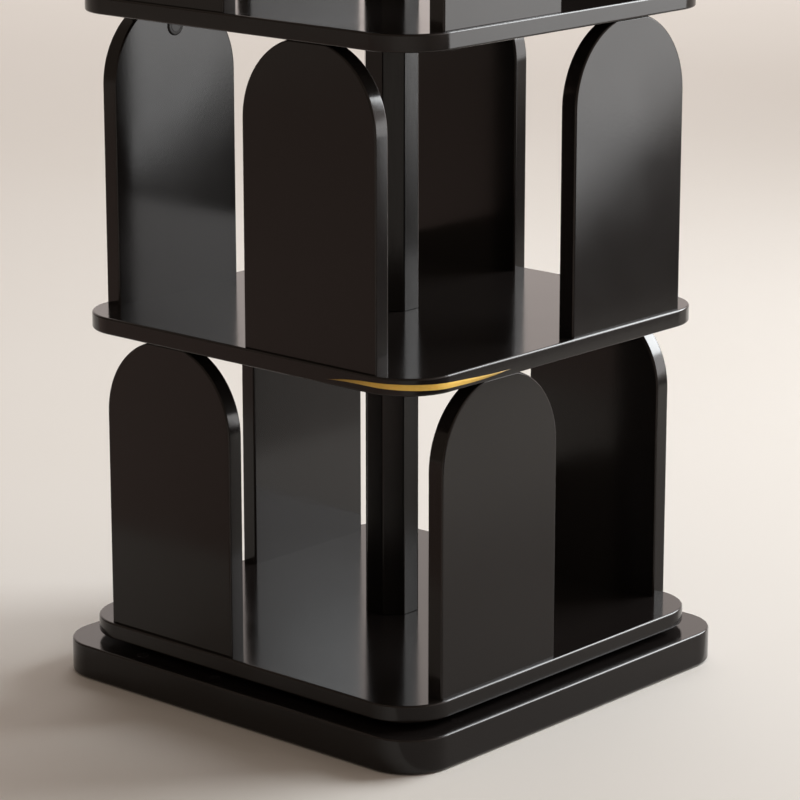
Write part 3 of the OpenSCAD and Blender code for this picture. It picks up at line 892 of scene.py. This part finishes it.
class BOOKCASE_OT_boards(bpy.types.Operator):
    """Base and shelf boards, with rounded corners, eased edges, the turntable's groove and countersinks"""

    bl_idname = "bookcase.boards"
    bl_label = "Boards"

    def execute(self, context):
        sizes = context.scene.bookcase_sizes
        self.make("base_board", "base", sizes, sizes.base_corner, drillings(self.base_cuts(sizes)))
        sink = countersink(sizes.screw_head, sizes.screw_shank)
        for level, node in enumerate(SHELVES):
            holes = []
            if level < len(TIERS):
                holes = [(sink, place) for place in foot_screw_places(TIERS[level], sizes)]
            if level == 0:
                underside = Vector((0, 0, box_of(node)[0].z))
                holes.append((countersink(sizes.bolt_head, sizes.bolt_head / 2), underside))
            self.make(node, "carcase", sizes, sizes.shelf_corner, drillings(holes) if holes else None)
        return {"FINISHED"}

    def make(self, node, body, sizes, corner, cutter):
        """One board, in the place of its CAD node."""
        low, high = box_of(node)
        piece = put_in_scene(node + "_lacquered", bpy.data.meshes.new(node))
        run_tree(piece, "Rounded board", {
            "Side": high.x - low.x, "Thickness": high.z - low.z,
            "Corner Radius": corner, "Corner Steps": CORNER_STEPS,
            "Place": (0.0, 0.0, low.z), "Material": finish("black_lacquered_board")})
        ease_and_drill(piece, sizes.edge_round, UP, low.z, high.z, cutter)
        settle(piece, body, "black_lacquered_board", node)

    def base_cuts(self, sizes):
        """The turntable's groove, the pads' sinkings and the access hole."""
        top = box_of("base_board")[1].z + PAST
        floor = box_of("turntable_fixed_ring")[0].z
        inner, middle = reach_of("turntable_turning_ring")
        outer = reach_of("turntable_fixed_ring")[1]
        low = inner - sizes.recess_clear
        high = outer + HAIR
        groove = [(low, floor), (high, floor), (high, top), (low, top), (low, floor)]
        sinking = plug(sizes.pad / 2 + HAIR, -PAST, box_of("foot_pads")[1].z)
        access = plug(sizes.access_hole / 2, -PAST, floor + PAST)
        holes = [(groove, Vector())]
        holes += [(sinking, place) for place in pad_places(sizes)]
        holes.append((access, Vector(((inner + middle) / 2, 0, 0))))
        return holes


class BOOKCASE_OT_panels(bpy.types.Operator):
    """Arched panels, twelve in a pinwheel that changes hand at each tier"""

    bl_idname = "bookcase.panels"
    bl_label = "Arched panels"

    def execute(self, context):
        sizes = context.scene.bookcase_sizes
        for tier in TIERS:
            for quarter, side in enumerate(SIDES):
                node = tier + "_panel_" + side
                low, high = box_of(node)
                foot, thick, inwards = panel_place(node)
                size = high - low
                piece = put_in_scene(node + "_lacquered", bpy.data.meshes.new(node))
                run_tree(piece, "Arched panel", {
                    "Width": max(size.x, size.y), "Height": size.z, "Thickness": thick,
                    "Crown Cut": sizes.crown_cut, "Arch Steps": ARCH_STEPS,
                    "Place": tuple(foot + inwards * (thick / 2)),
                    "Turn": (0.0, 0.0, quarter * QUARTER_TURN),
                    "Material": finish("black_lacquered_board")})
                # the front and back panels are thin along Y, and the other two along X
                axis = 1 - quarter % 2
                ease_and_drill(piece, sizes.edge_round, axis, low[axis], high[axis])
                settle(piece, "carcase", "black_lacquered_board", node)
        return {"FINISHED"}


class BOOKCASE_OT_posts(bpy.types.Operator):
    """Central posts, one eight-sided length to a tier"""

    bl_idname = "bookcase.posts"
    bl_label = "Central posts"

    def execute(self, context):
        sizes = context.scene.bookcase_sizes
        for tier in TIERS:
            node = tier + "_post"
            low, high = box_of(node)
            piece = put_in_scene(node + "_lacquered", bpy.data.meshes.new(node))
            run_tree(piece, "Flat-sided post", {
                "Across": high.x - low.x, "Height": high.z - low.z,
                "Edge Radius": sizes.post_edge_round, "Edge Steps": POST_EDGE_STEPS,
                "Place": (0.0, 0.0, low.z), "Material": finish("black_lacquered_wood")})
            ease_and_drill(piece, sizes.post_end_round, UP, low.z, high.z)
            settle(piece, "carcase", "black_lacquered_wood", node)
        return {"FINISHED"}


class BOOKCASE_OT_pads(bpy.types.Operator):
    """Foot pads under the base"""

    bl_idname = "bookcase.pads"
    bl_label = "Foot pads"

    def execute(self, context):
        sizes = context.scene.bookcase_sizes
        radius = sizes.pad / 2
        height = box_of("foot_pads")[1].z
        rim = [(radius - inset, rise) for inset, rise in PAD_RIM]
        rings = [(0, 0), *rim, (radius, height), (0, height)]
        places = [(place, Vector()) for place in pad_places(sizes)]
        piece = set_out("foot_pads_foam", turned("foot_pad", rings), places, "black_rubber")
        settle(piece, "base", "black_rubber", "foot_pads")
        return {"FINISHED"}


class BOOKCASE_OT_turntable(bpy.types.Operator):
    """Turntable: balls set out round their circle, and finishes for its rings, cage and screws"""

    bl_idname = "bookcase.turntable"
    bl_label = "Turntable"

    def execute(self, context):
        sizes = context.scene.bookcase_sizes
        low, high = box_of("turntable_balls")
        radius = (high.z - low.z) / 2
        reach = sizes.ball_circle / 2
        places = []
        for k in range(sizes.ball_count):
            turn = 2 * math.pi * (k + 0.5) / sizes.ball_count
            spot = Vector((reach * math.cos(turn), reach * math.sin(turn), low.z + radius))
            places.append((spot, Vector()))
        arcs = [math.pi * (k / BALL_RINGS - 0.5) for k in range(1, BALL_RINGS)]
        belts = [(radius * math.cos(arc), radius * math.sin(arc)) for arc in arcs]
        ball = turned("ball", [(0, -radius), *belts, (0, radius)], BALL_STEPS)
        piece = set_out("turntable_balls_polished", ball, places, "bright_steel")
        settle(piece, "ball_cage", "bright_steel", "turntable_balls")
        paint("satin_aluminium", "turntable_fixed_ring", "turntable_turning_ring")
        paint("pale_plastic", "turntable_ball_cage")
        paint("bright_steel", "fixed_ring_screws", "turning_ring_screws")
        return {"FINISHED"}


class BOOKCASE_OT_fastenings(bpy.types.Operator):
    """Foot screws and cam caps set out on the panels, and finishes for the hidden fastenings"""

    bl_idname = "bookcase.fastenings"
    bl_label = "Fastenings"

    def execute(self, context):
        sizes = context.scene.bookcase_sizes
        for tier in TIERS:
            self.foot_screws(tier, sizes)
            self.cam_caps(tier, sizes)
            paint("bright_steel", tier + "_cam_bolts")
            paint("cast_zinc", tier + "_cam_discs")
        paint("bright_steel", "post_bottom_bolt", "post_studs", "post_top_stud")
        paint("cast_zinc", "post_top_insert")
        return {"FINISHED"}

    def foot_screws(self, tier, sizes):
        """Countersunk screws with a hexagon socket, driven up through the shelf."""
        node = tier + "_foot_screws"
        low, high = box_of(node)
        tall = high.z - low.z
        head = sizes.screw_head / 2
        shank = sizes.screw_shank / 2
        socket = shank * SOCKET_WIDTH
        rings = [
            (0, shank * SOCKET_DEPTH),
            (socket, shank, HEXAGON),
            (socket, HAIR, HEXAGON),
            (head - SCREW_RIM, HAIR),
            (head - HAIR, SCREW_RIM),
            (shank, head - shank),
            (shank, tall - SCREW_POINT),
            (shank * TIP_WIDTH, tall),
            (0, tall),
        ]
        places = [(place, Vector()) for place in foot_screw_places(tier, sizes)]
        piece = set_out(node + "_plated", turned("foot_screw", rings), places, "bright_steel")
        settle(piece, "carcase", "bright_steel", node)

    def cam_caps(self, tier, sizes):
        """Thin moulded caps with a soft rim and a shallow ring, pressed over the cams."""
        node = tier + "_cam_caps"
        places = []
        for quarter, side in enumerate(SIDES):
            panel = tier + "_panel_" + side
            foot, thick, inwards = panel_place(panel)
            spot = foot + inwards * (thick / 2)
            spot.z = box_of(panel)[1].z - sizes.cam_drop
            places.append((spot, Vector((-QUARTER_TURN, 0, quarter * QUARTER_TURN))))
        radius = sizes.cam_cap / 2
        rim = [(radius - inset, CAP_HEIGHT * share) for inset, share in CAP_RIM]
        rings = [(0, 0), *rim, (0, CAP_HEIGHT)]
        piece = set_out(node + "_moulded", turned("cam_cap", rings), places, "black_plastic")
        settle(piece, "carcase", "black_plastic", node)


class BOOKCASE_OT_gilt(bpy.types.Operator):
    """Gilt line that swells and tapers round the second shelf's front corner"""

    bl_idname = "bookcase.gilt"
    bl_label = "Gilt line"

    def execute(self, context):
        sizes = context.scene.bookcase_sizes
        work = bmesh.new()
        fade = work.verts.layers.float.new("fade")
        rows = [self.row(work, fade, sizes, 2 * k / GILT_STEPS - 1) for k in range(GILT_STEPS + 1)]
        for one, two in zip(rows, rows[1:]):
            for k in range(len(one)):
                after = (k + 1) % len(one)
                work.faces.new((one[k], two[k], two[after], one[after]))
        work.faces.new(rows[0])
        work.faces.new(rows[-1][::-1])
        bmesh.ops.recalc_face_normals(work, faces=work.faces)
        mesh = bpy.data.meshes.new("gilt_line")
        work.to_mesh(mesh)
        work.free()
        mesh.shade_smooth()
        mesh.set_sharp_from_angle(angle=GILT_SHARP_FOLD)
        mesh.materials.append(finish("gilt"))
        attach(put_in_scene("gilt_corner_line", mesh), "carcase")
        return {"FINISHED"}

    def row(self, work, fade, sizes, way):
        """The points across the line, at a way from -1 to 1 along it."""
        low, high = box_of("second_shelf")
        radius = sizes.shelf_corner
        bend = radius * math.pi / 4
        run = GILT_MIDDLE + GILT_REACH * way
        bent = max(-bend, min(bend, run))
        turn = -math.pi / 4 + bent / radius
        out = Vector((math.cos(turn), math.sin(turn), 0))
        spot = Vector((high.x - radius, low.y + radius, 0)) + out * radius
        spot += Vector((-out.y, out.x, 0)) * (run - bent)
        half = sizes.gilt_width / 2 * max(1 - way * way, GILT_LEAST)
        middle = low.z + sum(rise * way ** order for order, rise in enumerate(GILT_RISE))
        points = []
        for across, proud in GILT_SECTION:
            at = spot + out * proud
            point = work.verts.new((at.x, at.y, middle + across * half))
            point[fade] = way * way
            points.append(point)
        return points


class BOOKCASE_OT_stage(bpy.types.Operator):
    """Pale floor, soft studio light from the right and behind, and the camera"""

    bl_idname = "bookcase.stage"
    bl_label = "Stage"

    def execute(self, context):
        scene = context.scene
        stage = scene.bookcase_stage
        self.floor(stage)
        self.world(scene)
        self.side_light(stage)
        self.cards(stage)
        self.key_light(stage)
        self.far_lights(stage)
        scene.camera = self.camera(stage)
        scene.view_settings.view_transform = "Standard"
        return {"FINISHED"}

    def floor(self, stage):
        """A wide round floor."""
        work = bmesh.new()
        bmesh.ops.create_circle(work, cap_ends=True, segments=FLOOR_STEPS, radius=stage.floor_radius)
        mesh = bpy.data.meshes.new("floor")
        work.to_mesh(mesh)
        work.free()
        mesh.materials.append(finish("floor"))
        put_in_scene("floor", mesh)

    def cards(self, stage):
        """Square cards on the floor beside and in front of the base, for the gloss alone."""
        reach = CAD_BOX[1][0]
        side = stage.card_side
        corners = {
            "side_card": (reach + stage.card_gap, -side / 4),
            "front_card": (-side * 3 / 4, -reach - stage.front_card_gap - side),
        }
        wide = Vector((side, 0.0, 0.0))
        deep = Vector((0.0, side, 0.0))
        for name, corner in corners.items():
            low = Vector((*corner, CARD_LIFT))
            mesh = bpy.data.meshes.new(name)
            mesh.from_pydata([low, low + wide, low + wide + deep, low + deep], [], [(0, 1, 2, 3)])
            mesh.materials.append(finish(name))
            card = put_in_scene(name, mesh)
            card.visible_camera = False
            card.visible_diffuse = False
            card.visible_shadow = False

    def world(self, scene):
        """Light all round, bright behind the bookcase and dim and warm in front of it."""
        world = bpy.data.worlds.new("soft_studio")
        world.use_nodes = True
        scene.world = world
        tree = world.node_tree
        towards = add(tree, "ShaderNodeTexCoord").outputs["Generated"]
        way = add(tree, "ShaderNodeSeparateXYZ", {0: towards}).outputs
        behind = add(tree, "ShaderNodeMapRange", {
            "Value": way["Y"], "From Min": -0.30, "From Max": 0.55}, interpolation_type="SMOOTHSTEP")
        low = add(tree, "ShaderNodeMapRange", {
            "Value": way["Z"], "From Min": 0.85, "From Max": 0.40}, interpolation_type="SMOOTHSTEP")
        bright = add(tree, "ShaderNodeMath", {
            0: behind.outputs["Result"], 1: low.outputs["Result"]}, operation="MULTIPLY")
        tone = add(tree, "ShaderNodeMix", {
            FACTOR: bright.outputs[0], FIRST: FRONT_TONE, SECOND: BACK_TONE}, data_type="RGBA")
        fill(tree, tree.nodes["Background"], {"Color": tone.outputs[MIXED]})

    def side_light(self, stage):
        """A slanting light to the right, for the gloss alone."""
        facing = (0.0, 0.0, stage.side_place[UP])
        side = self.soft_light(
            "side_light", stage.side_place, stage.side_width, stage.side_height, facing, stage.side_roll)
        side.data.energy = stage.side_power
        side.visible_diffuse = False

    def key_light(self, stage):
        """A broad, slightly cool light from behind."""
        facing = (0.0, 0.0, stage.key_aim)
        key = self.soft_light("key_light", stage.key_place, stage.key_width, stage.key_height, facing)
        key.data.energy = stage.key_power
        key.data.color = KEY_TINT
        key.data.spread = stage.key_spread

    def far_lights(self, stage):
        """Lights over the far floor, which the gloss doesn't show."""
        for number, spot in enumerate(FAR_SPOTS, 1):
            place = Vector(spot) + Vector((0.0, 0.0, stage.far_height))
            far = self.soft_light("far_light_%d" % number, place, stage.far_height, stage.far_height, spot)
            far.data.energy = stage.far_power
            far.data.spread = stage.far_spread
            far.visible_glossy = False

    def soft_light(self, name, place, width, height, facing, roll=0.0):
        """A soft rectangular light that faces a spot, and that the camera doesn't see."""
        data = bpy.data.lights.new(name, "AREA")
        data.shape = "RECTANGLE"
        data.size = width
        data.size_y = height
        light = put_in_scene(name, data)
        light.location = place
        towards = Vector(facing) - Vector(place)
        level = towards.to_track_quat("-Z", "Y")
        light.rotation_euler = (level @ Quaternion((0.0, 0.0, 1.0), roll)).to_euler()
        light.visible_camera = False
        return light

    def camera(self, stage):
        """The camera, at the photograph's viewing angle."""
        data = bpy.data.cameras.new("camera")
        data.sensor_width = SENSOR_WIDTH
        data.lens = stage.camera_lens
        data.clip_end = VIEW_END
        camera = put_in_scene("camera", data)
        camera.location = stage.camera_place
        camera.rotation_euler = (QUARTER_TURN - stage.camera_dip, 0.0, stage.camera_turn)
        return camera


class BOOKCASE_PT_sidebar(bpy.types.Panel):
    """Lists the pieces in the 3D view's sidebar"""

    bl_idname = "BOOKCASE_PT_sidebar"
    bl_label = "Revolving bookcase"
    bl_space_type = "VIEW_3D"
    bl_region_type = "UI"
    bl_category = "Bookcase"

    def draw(self, context):
        """One button for each operator."""
        for step in STEPS:
            self.layout.operator(step.bl_idname)


GROUPS = {
    "bookcase_sizes": BookcaseSizes,
    "bookcase_colours": BookcaseColours,
    "bookcase_stage": BookcaseStage,
}
STEPS = (
    BOOKCASE_OT_boards,
    BOOKCASE_OT_panels,
    BOOKCASE_OT_posts,
    BOOKCASE_OT_pads,
    BOOKCASE_OT_turntable,
    BOOKCASE_OT_fastenings,
    BOOKCASE_OT_gilt,
    BOOKCASE_OT_stage,
)


def register():
    """Registers the classes and puts their properties on the scene."""
    for group in GROUPS.values():
        bpy.utils.register_class(group)
    for step in STEPS:
        bpy.utils.register_class(step)
    bpy.utils.register_class(BOOKCASE_PT_sidebar)
    for name, group in GROUPS.items():
        setattr(bpy.types.Scene, name, bpy.props.PointerProperty(type=group))


def unregister():
    """Takes back what register gave."""
    for name in GROUPS:
        delattr(bpy.types.Scene, name)
    bpy.utils.unregister_class(BOOKCASE_PT_sidebar)
    for step in reversed(STEPS):
        bpy.utils.unregister_class(step)
    for group in GROUPS.values():
        bpy.utils.unregister_class(group)


def main():
    """Makes every piece and the stage."""
    register()
    for step in STEPS:
        getattr(bpy.ops.bookcase, step.bl_idname.split(".")[1])()


if __name__ == "__main__":
    main()
